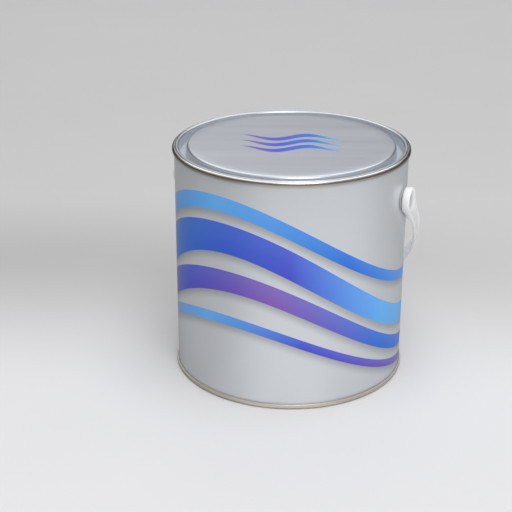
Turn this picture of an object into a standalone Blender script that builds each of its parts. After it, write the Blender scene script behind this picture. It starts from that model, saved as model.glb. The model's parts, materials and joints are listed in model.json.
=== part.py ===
"""Tinplate can of polyester putty with a lever lid and a plastic carrying handle.

Metres, +Z up. The can stands on z = 0 with its axis on Z. The handle turns on the X axis through its ears
and hangs on the +Y side. Every pressed sheet piece is drawn as the middle line of its sheet and is given
the sheet's thickness by an offset to both sides, then turned round the can's axis.
"""

from math import acos, atan2, cos, hypot, pi, sin, sqrt

import bmesh
import bpy
from mathutils import Vector

# Sheet metal and fits
SHEET = 0.00025            # thickness of the tinplate
SEAM_GAP = 0.0002          # play between the folded layers of a seam
FIT_GAP = 0.0003           # play between pieces that rest on each other

# Can body and its two double seams
SEAM_DIAMETER = 0.1683     # over the seams
CAN_HEIGHT = 0.1669        # over the seams
SEAM_HEIGHT = 0.0033
SEAM_OUTER_BEND = 0.0008   # bend from the seaming wall to the seaming panel
SEAM_INNER_BEND = 0.0004   # bend from the seaming panel to the chuck wall
HOOK_BEND = 0.0002         # bend at the top of a body hook
SEALANT_HEIGHT = 0.0004
SEALANT_WIDTH = 0.0005

# Bottom end
BASE_RECESS = 0.0045       # from the standing rim up to the panel
BASE_BEND = 0.0010
BEAD_INSET = 0.0132        # from the chuck wall in to the raised bead
BEAD_WIDTH = 0.0200
BEAD_HEIGHT = 0.0010

# Top ring
LEDGE_DEPTH = 0.0026       # from the seam's top down to the ledge that carries the lid's rolled edge
GROOVE_DEPTH = 0.0080      # from the seam's top down to the floor of the closing groove
GROOVE_BEND = 0.0008
COLLAR_DROP = 0.0018       # from the seam's top down to the top of the collar
COLLAR_ROLL_WIDTH = 0.0016
COLLAR_ROLL_HEIGHT = 0.0014

# Lid
ROLL_WIDTH = 0.0022        # from the lid's outer edge in to the plug's outer wall
PLUG_WIDTH = 0.00525       # clear width of the groove seen in the lid
LID_PROUD = 0.0003         # how far the lid's top stands above the seam's top
LID_EDGE_BEND = 0.0012     # bend at the panel's edge
ROLL_BEND = 0.0007         # bend at the top of the lid's rolled edge

# Putty
FILL_DROP = 0.0339         # from the seam's top down to the putty's surface
FILL_CLIMB = 0.0020        # how far the putty climbs at the wall
FILL_CLIMB_WIDTH = 0.0060  # how far from the wall that climb starts
FILL_PEAK = 0.0030         # height of the peak left in the middle when it was filled
FILL_PEAK_RADIUS = 0.0240  # at the peak's foot
FILL_PEAK_TOP = 0.0080     # radius of the peak's blunt top

# Ears that carry the handle
EAR_DROP = 0.0307          # from the seam's top down to the handle's axis
EAR_FLANGE_RADIUS = 0.0085
EAR_FLANGE = 0.0005        # thickness of the flange welded to the body
STUD_RADIUS = 0.0032
STUD_HEAD_RADIUS = 0.0046
STUD_HEAD = 0.0015         # thickness of the stud's head
STUD_WALL = 0.0008         # the stud is drawn hollow from behind

# Carrying handle
RUN_GAP = 0.0004           # play between handle and stud
BOSS_RADIUS = 0.0090
BOSS_LIP = 0.0012          # lip that snaps behind the stud's head
BOSS_FRONT = 0.0019        # wall in front of the stud's head
BOSS_CHAMFER = 0.0008
BOSS_DISH = 0.0010         # shallow dish in the boss's face
BOSS_RIM = 0.0016          # rim left round that dish
BOSS_PROUD = 0.0005        # how far the boss stands proud of the strap, on both faces
STRAP_THICKNESS = 0.0024
STRAP_WIDTH = 0.0120
GRIP_WIDTH = 0.0170
GRIP_LENGTH = 0.0900       # length of the wide grip in the middle of the handle
STRAP_RIB = 0.0022         # width of the rib along each edge of the strap's outer face
STRAP_RECESS = 0.0009      # depth of the channel between the ribs
HANDLE_REACH = 0.1350      # from the handle's axis to the middle of its strap
PAD_LENGTH = 0.0150        # from the handle's axis to where the thick pad of the leg starts to thin
NECK_LENGTH = 0.0230       # straight leg over which the boss narrows into the strap

# Facets
MERGE = 0.0000025          # points closer than this are one
SHARP_ANGLE = 0.6          # edges sharper than this, in radians, are shaded sharp
TURN_STEPS = 48            # round the can
STUD_STEPS = 20            # round a stud or boss
LEG_STEPS = 6
ARCH_STEPS = 28

# Radii of the sheet's middle line in the five layers of a double seam, from outside to inside
LAYER = SHEET + SEAM_GAP
WALL_R = SEAM_DIAMETER / 2 - SHEET / 2
BODY_HOOK_R = WALL_R - LAYER
COVER_HOOK_R = WALL_R - 2 * LAYER
BODY_R = WALL_R - 3 * LAYER
CHUCK_R = WALL_R - 4 * LAYER

# Depths of a double seam, from the end's plane inwards
HOOK_TOP = SHEET + SEAM_GAP + SEALANT_HEIGHT + SEAM_GAP + SHEET / 2
BODY_HOOK_TIP = SEAM_HEIGHT - SHEET - SEAM_GAP
COVER_HOOK_TIP = HOOK_TOP + SHEET / 2 + SEAM_GAP

# Closing groove: the lid's plug nests in the ring's groove
LIP_R = CHUCK_R - SHEET - FIT_GAP
PLUG_OUT_R = LIP_R - ROLL_WIDTH
PLUG_IN_R = PLUG_OUT_R - SHEET - PLUG_WIDTH
COLLAR_R = PLUG_IN_R - SHEET - FIT_GAP
GROOVE_OUT_R = PLUG_OUT_R + SHEET + FIT_GAP
PLUG_DEPTH = GROOVE_DEPTH - SHEET - FIT_GAP
LID_TOP = SHEET / 2 - LID_PROUD

# Heights that hang from the top seam
FILL_LEVEL = CAN_HEIGHT - FILL_DROP
EAR_HEIGHT = CAN_HEIGHT - EAR_DROP

# Handle, along the X axis from the can's middle outwards
BODY_SURFACE = BODY_R + SHEET / 2
EAR_BACK = BODY_SURFACE + FIT_GAP
EAR_FRONT = EAR_BACK + EAR_FLANGE
BOSS_BACK = EAR_FRONT + RUN_GAP
HEAD_BACK = BOSS_BACK + BOSS_LIP + RUN_GAP
HEAD_FRONT = HEAD_BACK + STUD_HEAD
SOCKET_END = HEAD_FRONT + RUN_GAP
BOSS_FACE = SOCKET_END + BOSS_FRONT
STRAP_MIDDLE = BOSS_FACE - BOSS_PROUD - STRAP_THICKNESS / 2

# Angle below level at which the strap's inner edge comes to rest against the can
REACH_INSIDE = HANDLE_REACH - STRAP_THICKNESS / 2
REST_ANGLE = (acos((BODY_SURFACE + FIT_GAP) / hypot(REACH_INSIDE, GRIP_WIDTH / 2))
              - atan2(GRIP_WIDTH / 2, REACH_INSIDE))


def clear_scene():
    """Removes whatever the file holds."""
    for item in list(bpy.data.objects):
        bpy.data.objects.remove(item, do_unlink=True)


def material(name, colour, roughness, metallic):
    """A plain Principled material."""
    made = bpy.data.materials.new(name)
    made.use_nodes = True
    shader = made.node_tree.nodes["Principled BSDF"]
    shader.inputs["Base Color"].default_value = (*colour, 1.0)
    shader.inputs["Roughness"].default_value = roughness
    shader.inputs["Metallic"].default_value = metallic
    return made


def finished(name, bm, finish):
    """Turns a bmesh into a named object with smooth round faces and the given material."""
    bmesh.ops.recalc_face_normals(bm, faces=bm.faces)
    mesh = bpy.data.meshes.new(name)
    bm.to_mesh(mesh)
    bm.free()
    mesh.shade_smooth()
    mesh.set_sharp_from_angle(angle=SHARP_ANGLE)
    mesh.materials.append(finish)
    made = bpy.data.objects.new(name, mesh)
    bpy.context.scene.collection.objects.link(made)
    return made


def bent(corners):
    """Cuts each corner of a path that has a bend: corners are (radius, depth, bend)."""
    path = []
    for i, (r, s, bend) in enumerate(corners):
        here = Vector((r, s))
        if not bend:
            path.append(here)
            continue
        for j in (i - 1, i + 1):
            towards = (Vector(corners[j][:2]) - here).normalized()
            path.append(here + towards * bend)
    return path


def sheet_outline(path):
    """Offsets the middle line of a sheet to both sides and returns the outline of its section."""
    sides = ([], [])
    for i, here in enumerate(path):
        before = (here - path[i - 1]).normalized() if i else None
        after = (path[i + 1] - here).normalized() if i + 1 < len(path) else None
        if before is None or after is None:
            along = before or after
            shift = Vector((-along.y, along.x)) * SHEET / 2
        else:
            bisector = (Vector((-before.y, before.x)) + Vector((-after.y, after.x))).normalized()
            shift = bisector * (SHEET / 2) / bisector.dot(Vector((-before.y, before.x)))
        sides[0].append(here + shift)
        sides[1].append(here - shift)
    return sides[0] + sides[1][::-1]


def from_top(outline):
    """Turns depths below the top seam into heights."""
    return [Vector((r, CAN_HEIGHT - s)) for r, s in outline]


def turned(name, outline, finish, steps=TURN_STEPS, axis="Z"):
    """Turns a section, given as (radius, height) points, round an axis into a closed body."""
    bm = bmesh.new()
    if axis == "Z":
        verts = [bm.verts.new((r, 0, h)) for r, h in outline]
        direction = (0, 0, 1)
    else:
        verts = [bm.verts.new((h, 0, r)) for r, h in outline]
        direction = (1, 0, 0)
    pairs = list(zip(verts, verts[1:] + verts[:1]))
    on_axis = [r < MERGE for r, _ in outline]
    edges = [bm.edges.new(pair) for i, pair in enumerate(pairs)
             if not (on_axis[i] and on_axis[(i + 1) % len(outline)])]
    bmesh.ops.spin(bm, geom=verts + edges, cent=(0, 0, 0), axis=direction, angle=2 * pi,
                   steps=steps, use_merge=True)
    bmesh.ops.remove_doubles(bm, verts=bm.verts, dist=MERGE)
    return finished(name, bm, finish)


def seam_corners():
    """The folded edge of an end or ring, from the tip of its hook to the top of its chuck wall."""
    return [
        (COVER_HOOK_R, COVER_HOOK_TIP, 0),
        (COVER_HOOK_R, SEAM_HEIGHT - SHEET / 2, 0),
        (WALL_R, SEAM_HEIGHT - SHEET / 2, 0),
        (WALL_R, SHEET / 2, SEAM_OUTER_BEND),
        (CHUCK_R, SHEET / 2, SEAM_INNER_BEND),
    ]


def can_body(finish):
    """The rolled wall, with a hook folded outwards and back at each end."""
    hook = [
        (BODY_HOOK_R, BODY_HOOK_TIP, 0),
        (BODY_HOOK_R, HOOK_TOP, HOOK_BEND),
        (BODY_R, HOOK_TOP, HOOK_BEND),
    ]
    top = [(r, CAN_HEIGHT - s, bend) for r, s, bend in reversed(hook)]
    return turned("can_body", sheet_outline(bent(hook + top)), finish)


def bead_path():
    """The bottom panel's middle line from the bead inwards, as (radius, height above the panel)."""
    outer = CHUCK_R - BEAD_INSET
    inner = outer - BEAD_WIDTH
    return [(outer, 0), (outer - BEAD_HEIGHT, BEAD_HEIGHT), (inner + BEAD_HEIGHT, BEAD_HEIGHT),
            (inner, 0), (0, 0)]


def bottom_end(finish):
    """The recessed end, folded over the body's lower hook."""
    panel = [(r, BASE_RECESS + rise, 0) for r, rise in bead_path()]
    corners = seam_corners() + [(CHUCK_R, BASE_RECESS, BASE_BEND)] + panel
    return turned("bottom_end", sheet_outline(bent(corners)), finish)


def top_ring(finish):
    """The ring folded over the body's upper hook, with a ledge, a groove and a collar round the mouth."""
    roll_r = COLLAR_R - COLLAR_ROLL_WIDTH
    corners = seam_corners() + [
        (CHUCK_R, LEDGE_DEPTH, 0),
        (GROOVE_OUT_R, LEDGE_DEPTH, 0),
        (GROOVE_OUT_R, GROOVE_DEPTH, GROOVE_BEND),
        (COLLAR_R, GROOVE_DEPTH, GROOVE_BEND),
        (COLLAR_R, COLLAR_DROP, 0),
        (roll_r, COLLAR_DROP, 0),
        (roll_r, COLLAR_DROP + COLLAR_ROLL_HEIGHT, 0),
    ]
    return turned("top_ring", from_top(sheet_outline(bent(corners))), finish)


def lid(finish):
    """The press-in lid: rolled edge on the ring's ledge, plug in the ring's groove, flat panel."""
    corners = [
        (LIP_R, LEDGE_DEPTH - SHEET / 2 - FIT_GAP, 0),
        (LIP_R, LID_TOP, ROLL_BEND),
        (PLUG_OUT_R, LID_TOP, ROLL_BEND),
        (PLUG_OUT_R, PLUG_DEPTH, GROOVE_BEND),
        (PLUG_IN_R, PLUG_DEPTH, GROOVE_BEND),
        (PLUG_IN_R, LID_TOP, LID_EDGE_BEND),
        (0, LID_TOP, 0),
    ]
    return turned("lid", from_top(sheet_outline(bent(corners))), finish)


def sealant(name, at_top, finish):
    """The ring of lining compound between a seaming panel and the body hook under it."""
    inner, low = BODY_R - SHEET / 2, SHEET + SEAM_GAP
    section = [Vector((inner, low)), Vector((inner + SEALANT_WIDTH, low)),
               Vector((inner + SEALANT_WIDTH, low + SEALANT_HEIGHT)), Vector((inner, low + SEALANT_HEIGHT))]
    return turned(name, from_top(section) if at_top else section, finish)


def putty_fill(finish):
    """The putty, lying on the bottom end and up to the wall, with the peak left by the filling nozzle."""
    wall = BODY_R - SHEET / 2 - FIT_GAP
    floor = BASE_RECESS + SHEET / 2 + FIT_GAP
    section = [(0, floor)] + [(r, floor + rise) for r, rise in reversed(bead_path()[:-1])]
    section += [(wall, floor), (wall, FILL_LEVEL + FILL_CLIMB), (wall - FILL_CLIMB_WIDTH, FILL_LEVEL),
                (FILL_PEAK_RADIUS, FILL_LEVEL), (FILL_PEAK_TOP, FILL_LEVEL + FILL_PEAK),
                (0, FILL_LEVEL + FILL_PEAK)]
    return turned("putty_fill", section, finish)


def mirrored(section, side):
    """Places a section drawn along +X on the right (+1) or left (-1) side."""
    return [(r, side * x) for r, x in section]


def ear(name, side, finish):
    """A drawn stud whose flange is wrapped to the can's wall. It is hollow from behind."""
    bore = STUD_RADIUS - STUD_WALL
    section = [
        (0, HEAD_FRONT - STUD_WALL), (bore, HEAD_FRONT - STUD_WALL), (bore, EAR_BACK),
        ((bore + EAR_FLANGE_RADIUS) / 2, EAR_BACK), (EAR_FLANGE_RADIUS, EAR_BACK),
        (EAR_FLANGE_RADIUS, EAR_FRONT), (STUD_RADIUS, EAR_FRONT),
        (STUD_RADIUS, HEAD_BACK), (STUD_HEAD_RADIUS, HEAD_BACK),
        (STUD_HEAD_RADIUS, HEAD_FRONT - STUD_HEAD / 2), (STUD_RADIUS, HEAD_FRONT), (0, HEAD_FRONT),
    ]
    made = turned(name, mirrored(section, side), finish, STUD_STEPS, "X")
    for vert in made.data.vertices:
        if abs(vert.co.x) <= EAR_FRONT + MERGE:
            vert.co.x -= side * (EAR_BACK - sqrt(EAR_BACK ** 2 - vert.co.y ** 2))
    made.location = (0, 0, EAR_HEIGHT)
    return made


def boss(name, side, finish):
    """An end of the handle, with the socket that snaps over the stud's head and a dished face."""
    rim = BOSS_RADIUS - BOSS_RIM
    section = [
        (0, SOCKET_END), (STUD_HEAD_RADIUS + RUN_GAP, SOCKET_END),
        (STUD_HEAD_RADIUS + RUN_GAP, BOSS_BACK + BOSS_LIP), (STUD_RADIUS + RUN_GAP, BOSS_BACK + BOSS_LIP),
        (STUD_RADIUS + RUN_GAP, BOSS_BACK),
        (BOSS_RADIUS - BOSS_CHAMFER, BOSS_BACK), (BOSS_RADIUS, BOSS_BACK + BOSS_CHAMFER),
        (BOSS_RADIUS, BOSS_FACE - BOSS_CHAMFER), (BOSS_RADIUS - BOSS_CHAMFER, BOSS_FACE),
        (rim, BOSS_FACE), (rim - BOSS_DISH, BOSS_FACE - BOSS_DISH), (0, BOSS_FACE - BOSS_DISH),
    ]
    return turned(name, mirrored(section, side), finish, STUD_STEPS, "X")


def smooth_step(x):
    """Rises smoothly from 0 to 1 as x goes from 0 to 1."""
    x = min(max(x, 0.0), 1.0)
    return x * x * (3 - 2 * x)


def strap_stations():
    """Points along the strap's middle line, from the right leg over the arch to the left leg.

    Yields (point, outward direction in the handle's plane, thickness added inside, half width).
    """
    start = STUD_HEAD_RADIUS + RUN_GAP + BOSS_LIP
    rise = HANDLE_REACH - NECK_LENGTH
    added = STRAP_MIDDLE - STRAP_THICKNESS / 2 - BOSS_BACK - BOSS_PROUD
    right_leg = []
    for i in range(LEG_STEPS):
        z = start + (NECK_LENGTH - start) * i / LEG_STEPS
        thick = added * (1 - smooth_step((z - PAD_LENGTH) / (NECK_LENGTH - PAD_LENGTH)))
        wider = (BOSS_RADIUS - BOSS_CHAMFER - STRAP_WIDTH / 2) * (1 - smooth_step(z / NECK_LENGTH))
        right_leg.append((Vector((STRAP_MIDDLE, 0, z)), Vector((1, 0, 0)), thick, STRAP_WIDTH / 2 + wider))
    arch = []
    for i in range(ARCH_STEPS + 1):
        turn = pi * i / ARCH_STEPS
        point = Vector((STRAP_MIDDLE * cos(turn), 0, NECK_LENGTH + rise * sin(turn)))
        outward = Vector((rise * cos(turn), 0, STRAP_MIDDLE * sin(turn))).normalized()
        widen = smooth_step((GRIP_LENGTH - abs(point.x)) / (GRIP_LENGTH / 2))
        arch.append((point, outward, 0.0, (STRAP_WIDTH + (GRIP_WIDTH - STRAP_WIDTH) * widen) / 2))
    left_leg = [(Vector((-p.x, 0, p.z)), Vector((-1, 0, 0)), thick, half)
                for p, _, thick, half in reversed(right_leg)]
    return right_leg + arch + left_leg


def strap(name, finish):
    """The moulded strap: a channel section with a rib along each edge, lofted along the arch."""
    bm = bmesh.new()
    loops = []
    for point, outward, thick, half in strap_stations():
        inside = -STRAP_THICKNESS / 2 - thick
        outside = STRAP_THICKNESS / 2
        channel = half - STRAP_RIB
        section = [
            (-half, inside), (half, inside), (half, outside), (channel, outside),
            (channel - STRAP_RECESS / 2, outside - STRAP_RECESS),
            (STRAP_RECESS / 2 - channel, outside - STRAP_RECESS),
            (-channel, outside), (-half, outside),
        ]
        ring = [bm.verts.new(point + outward * n + Vector((0, q, 0))) for q, n in section]
        loops.append([bm.edges.new(pair) for pair in zip(ring, ring[1:] + ring[:1])])
    for near, far in zip(loops, loops[1:]):
        bmesh.ops.bridge_loops(bm, edges=near + far)
    for end in (loops[0], loops[-1]):
        bmesh.ops.contextual_create(bm, geom=end)
    return finished(name, bm, finish)


def carry_handle(finish):
    """The strap joined to its two bosses, hung on the ears at the angle where it meets the can."""
    handle = strap("carry_handle", finish)
    for name, side in (("boss_right", 1), ("boss_left", -1)):
        part = boss(name, side, finish)
        part.hide_render = True
        part.display_type = "WIRE"
        part.parent = handle
        join = handle.modifiers.new(name, "BOOLEAN")
        join.operation = "UNION"
        join.solver = "EXACT"
        join.object = part
    handle.location = (0, 0, EAR_HEIGHT)
    handle.rotation_euler = (-(pi / 2 + REST_ANGLE), 0, 0)
    return handle


def main():
    """Builds every piece of the can."""
    clear_scene()
    printed = material("printed_tinplate", (0.55, 0.57, 0.60), 0.30, 0.4)
    tinplate = material("bare_tinplate", (0.62, 0.63, 0.66), 0.28, 1.0)
    compound = material("lining_compound", (0.45, 0.43, 0.40), 0.80, 0.0)
    plastic = material("white_plastic", (0.88, 0.88, 0.88), 0.40, 0.0)
    putty = material("putty", (0.62, 0.60, 0.52), 0.55, 0.0)
    can_body(printed)
    bottom_end(tinplate)
    top_ring(tinplate)
    lid(tinplate)
    sealant("bottom_sealant", False, compound)
    sealant("top_sealant", True, compound)
    putty_fill(putty)
    ear("ear_right", 1, tinplate)
    ear("ear_left", -1, tinplate)
    carry_handle(plastic)


main()
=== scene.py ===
"""Dresses a tinplate can of putty: pressed sheet, printed wall, lever lid, carrying handle and studio.

Metres, +Z up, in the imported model's own frame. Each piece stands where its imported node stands. The sizes
below are those of the sheet, the folds and the moulding, and the rest is read from the frame.
"""

import json
import logging
import math
from dataclasses import dataclass
from enum import Enum
from typing import Any, Callable, Optional, Sequence, Union

import bmesh
import bpy
from mathutils import Matrix, Vector, noise


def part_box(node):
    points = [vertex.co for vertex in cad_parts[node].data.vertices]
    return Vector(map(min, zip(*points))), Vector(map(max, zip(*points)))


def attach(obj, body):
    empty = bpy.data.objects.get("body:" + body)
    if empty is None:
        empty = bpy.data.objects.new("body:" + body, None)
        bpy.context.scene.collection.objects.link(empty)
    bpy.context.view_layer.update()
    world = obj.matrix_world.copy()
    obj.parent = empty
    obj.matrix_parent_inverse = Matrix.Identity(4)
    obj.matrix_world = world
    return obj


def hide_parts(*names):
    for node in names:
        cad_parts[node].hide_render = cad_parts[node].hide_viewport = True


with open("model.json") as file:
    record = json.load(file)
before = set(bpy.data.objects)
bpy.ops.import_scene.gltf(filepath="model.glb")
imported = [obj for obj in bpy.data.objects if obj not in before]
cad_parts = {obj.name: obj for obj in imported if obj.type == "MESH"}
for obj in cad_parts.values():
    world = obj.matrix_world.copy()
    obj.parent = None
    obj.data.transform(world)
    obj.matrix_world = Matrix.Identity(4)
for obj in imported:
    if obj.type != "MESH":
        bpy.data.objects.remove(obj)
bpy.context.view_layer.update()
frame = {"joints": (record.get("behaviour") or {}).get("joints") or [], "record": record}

TURN = 2 * math.pi
MERGE = 1e-6

# A span is where a smooth step starts and ends. Stops are the places and colours of a colour ramp.
Triple = tuple[float, float, float]
Colour = Triple
Corner = Triple
Span = tuple[float, float]
Stops = tuple[tuple[float, Colour], ...]
Term = Union["Value", float]
Tint = Union["Value", Colour]
Piece = bpy.types.Object
Mesh = bmesh.types.BMesh
Material = bpy.types.Material

log = logging.getLogger("can")


class Axis(Enum):
    """The axis that a section is turned round."""

    X = (1.0, 0.0, 0.0)
    Z = (0.0, 0.0, 1.0)


def operation(name: str, reflected: bool = False) -> Callable[..., "Value"]:
    """Makes a method that adds a Math node.

    Args:
        name: Blender's name of the node's operation.
        reflected: Whether self is the last of the node's inputs, and not the first.

    Returns:
        The method, which takes the other inputs.
    """
    def method(self: "Value", *others: Term) -> "Value":
        """The result of the operation on self and the others."""
        terms = (*others, self) if reflected else (self, *others)
        return self.shader.value("ShaderNodeMath", {"operation": name}, dict(enumerate(terms)))
    return method


class Value:
    """A socket in an arithmetic expression. Each operator adds one Math node."""

    __add__, __radd__ = operation("ADD"), operation("ADD", True)
    __sub__, __rsub__ = operation("SUBTRACT"), operation("SUBTRACT", True)
    __mul__, __rmul__ = operation("MULTIPLY"), operation("MULTIPLY", True)
    __truediv__, __rtruediv__ = operation("DIVIDE"), operation("DIVIDE", True)
    __pow__, __rpow__ = operation("POWER"), operation("POWER", True)
    __abs__ = operation("ABSOLUTE")
    # A bearing is the angle to one side of straight ahead, from the parts that go aside and ahead.
    sine, cosine = operation("SINE"), operation("COSINE")
    bearing, at_least = operation("ARCTAN2"), operation("MAXIMUM")

    def __init__(self, shader: "Shader", socket: bpy.types.NodeSocket) -> None:
        """Keeps the socket and the node tree that it belongs to."""
        self.shader = shader
        self.socket = socket

    def hypot(self, other: "Value") -> "Value":
        """The length of a line that goes by self one way and by other across it."""
        return (self * self + other * other) ** 0.5

    def rises(self, start: Term, end: Term) -> "Value":
        """A smooth step: 0 where self is below the start and 1 where it is past the end."""
        return self.shader.value("ShaderNodeMapRange", {"interpolation_type": "SMOOTHSTEP"},
                                 {"Value": self, "From Min": start, "From Max": end})


class Shader:
    """A node tree that is filled in by expressions."""

    def __init__(self, owner: Union[Material, bpy.types.World]) -> None:
        """Starts on the tree of a material or a world.

        Args:
            owner: The material or the world.
        """
        owner.use_nodes = True
        self.owner = owner
        self.tree = owner.node_tree

    @staticmethod
    def pick(sockets: Any, key: Union[int, str]) -> bpy.types.NodeSocket:
        """Finds a socket.

        Args:
            sockets: A node's inputs or outputs.
            key: A place in the list, an identifier or a name.

        Returns:
            The socket.
        """
        if isinstance(key, int):
            return sockets[key]
        by_identifier = [s for s in sockets if s.identifier == key]
        return (by_identifier or [sockets[key]])[0]

    @staticmethod
    def set_stops(ramp: bpy.types.ColorRamp, stops: Stops) -> None:
        """Puts stops on a colour ramp.

        Args:
            ramp: The colour ramp.
            stops: The place and colour of each stop.
        """
        while len(ramp.elements) < len(stops):
            ramp.elements.new(0.5)
        for element, (place, colour) in zip(ramp.elements, stops):
            element.position = place
            element.color = (*colour, 1.0)

    def feed(self, socket: bpy.types.NodeSocket, term: Any) -> None:
        """Links or sets a socket.

        Args:
            socket: An input.
            term: The value to link, or a number, colour or vector to set.
        """
        if isinstance(term, Value):
            self.tree.links.new(term.socket, socket)
        elif socket.type == "RGBA":
            socket.default_value = (*term, 1.0)
        else:
            socket.default_value = term

    def node(self, kind: str, settings: dict[str, Any], inputs: dict[Any, Any]) -> bpy.types.Node:
        """Adds a node.

        Args:
            kind: The node's type.
            settings: Its properties, or a colour ramp's stops.
            inputs: A value for each socket that isn't left as it is.

        Returns:
            The node.
        """
        made = self.tree.nodes.new(kind)
        for name, setting in settings.items():
            if name == "stops":
                self.set_stops(made.color_ramp, setting)
            else:
                setattr(made, name, setting)
        for key, term in inputs.items():
            self.feed(self.pick(made.inputs, key), term)
        return made

    def value(self, kind: str, settings: dict[str, Any], inputs: dict[Any, Any],
              output: Union[int, str] = 0) -> Value:
        """Adds a node, as the method node does, and returns the named output."""
        return Value(self, self.pick(self.node(kind, settings, inputs).outputs, output))

    def mix(self, factor: Term, first: Tint, second: Tint) -> Value:
        """Mixes two colours: the first at factor 0 and the second at factor 1."""
        inputs = {"Factor_Float": factor, "A_Color": first, "B_Color": second}
        return self.value("ShaderNodeMix", {"data_type": "RGBA"}, inputs, "Result_Color")

    def blended(self, factor: Term, first: Term, second: Term) -> Value:
        """Mixes two numbers: the first at factor 0 and the second at factor 1."""
        inputs = {"Factor_Float": factor, "A_Float": first, "B_Float": second}
        return self.value("ShaderNodeMix", {"data_type": "FLOAT"}, inputs, "Result_Float")

    def toned(self, factor: Term, colour: Colour, spread: float) -> Value:
        """A colour that goes from darker to lighter by a share, as the factor goes from 0 to 1."""
        return self.mix(factor, scaled(colour, 1 - spread), scaled(colour, 1 + spread))

    def ramp(self, stops: Stops, place: Value) -> Value:
        """The colour of a colour ramp at a place from 0 to 1."""
        return self.value("ShaderNodeValToRGB", {"stops": stops}, {0: place})

    def place(self) -> Value:
        """The point's place in the piece's own space, which is the can's."""
        return self.value("ShaderNodeTexCoord", {}, {}, "Object")

    def split(self, vector: Value) -> list[Value]:
        """A vector's three parts."""
        made = self.node("ShaderNodeSeparateXYZ", {}, {0: vector})
        return [Value(self, output) for output in made.outputs]

    def noise(self, vector: Value, scale: float, detail: float = 2.0) -> Value:
        """Smooth noise from 0 to 1, by its waves per metre and the number of its finer layers."""
        inputs = {"Vector": vector, "Scale": scale, "Detail": detail}
        return self.value("ShaderNodeTexNoise", {}, inputs)

    def stretched(self, vector: Value, turn: float, stretch: Triple) -> Value:
        """A place turned about Z by an angle in radians, and then scaled along each axis."""
        turned_place = self.value("ShaderNodeMapping", {}, {"Vector": vector, "Rotation": (0.0, 0.0, turn)})
        return self.value("ShaderNodeMapping", {}, {"Vector": turned_place, "Scale": stretch})

    def bump(self, height: Value, depth: float) -> Value:
        """A normal that follows a height from 0 to 1, over the given depth in metres."""
        inputs = {"Strength": 1.0, "Distance": depth, "Height": height}
        return self.value("ShaderNodeBump", {}, inputs, "Normal")


class SurfaceShader(Shader):
    """A material's tree, with its Principled shader."""

    def __init__(self, name: str) -> None:
        """Makes a new material of that name."""
        super().__init__(bpy.data.materials.new(name))
        self.surface = self.tree.nodes["Principled BSDF"]

    def set(self, **inputs: Any) -> Material:
        """Feeds the Principled shader.

        Args:
            inputs: Values by socket name, with _ for a space.

        Returns:
            The material.
        """
        for name, term in inputs.items():
            self.feed(self.pick(self.surface.inputs, name.replace("_", " ")), term)
        return self.owner


def scaled(colour: Colour, share: float) -> Colour:
    """A colour times a share."""
    return tuple(part * share for part in colour)


ROYAL: Colour = (0.020, 0.165, 0.740)
SKY: Colour = (0.140, 0.480, 1.000)
INDIGO: Colour = (0.060, 0.080, 0.650)
VIOLET: Colour = (0.245, 0.110, 0.500)


@dataclass(frozen=True)
class Ribbon:
    """One printed ribbon that waves round the wall and thins out towards the back."""

    height: float
    swing: float
    phase: float
    width: float
    taper: float
    stops: Stops
    waves: float = 1.5
    taper_waves: float = 0.5
    taper_phase: float = 0.6
    thins: float = 1.35
    ends: float = 1.95
    tip: float = 0.1
    edge: float = 0.00012
    shadow: Colour = (0.06, 0.06, 0.075)
    shadow_drop: float = 0.0030
    shadow_blur: float = 0.0042
    shadow_depth: float = 0.42
    sheen: Colour = (0.30, 0.60, 1.0)
    sheen_depth: float = 0.10

    def over(self, shader: Shader, radius: float, angle: Value, z: Value, colour: Value,
             ink: Term) -> tuple[Value, Value]:
        """Prints the ribbon and its soft shadow over what lies under it.

        Args:
            shader: The tree.
            radius: The wall's radius.
            angle: The angle round the can from its front.
            z: The height on the can.
            colour: The colour so far.
            ink: The share of ribbon ink so far.

        Returns:
            The new colour and share of ink.
        """
        turn = angle * self.waves + self.phase
        slope = turn.cosine() * (self.swing * self.waves / radius)
        across = (z - self.height - self.swing * turn.sine()) / (slope * slope + 1.0) ** 0.5
        share = 1 - abs(angle).rises(self.thins, self.ends)
        wave = (turn * self.taper_waves + self.taper_phase).sine()
        half = self.width / 2 * (1 - self.taper * wave) * share
        mask = (1 - abs(across).rises(half - self.edge, half + self.edge)) * share.rises(0.0, self.tip)
        below = abs(across + self.shadow_drop)
        dark = (1 - below.rises(half - self.shadow_blur, half + self.shadow_blur)) * share
        sheen = (across / half).rises(-1.0, 1.0) * self.sheen_depth
        lit = shader.mix(sheen, shader.ramp(self.stops, angle / TURN + 0.5), self.sheen)
        colour = shader.mix(dark * self.shadow_depth, colour, self.shadow)
        return shader.mix(mask, colour, lit), mask + ink * (1 - mask)


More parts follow.
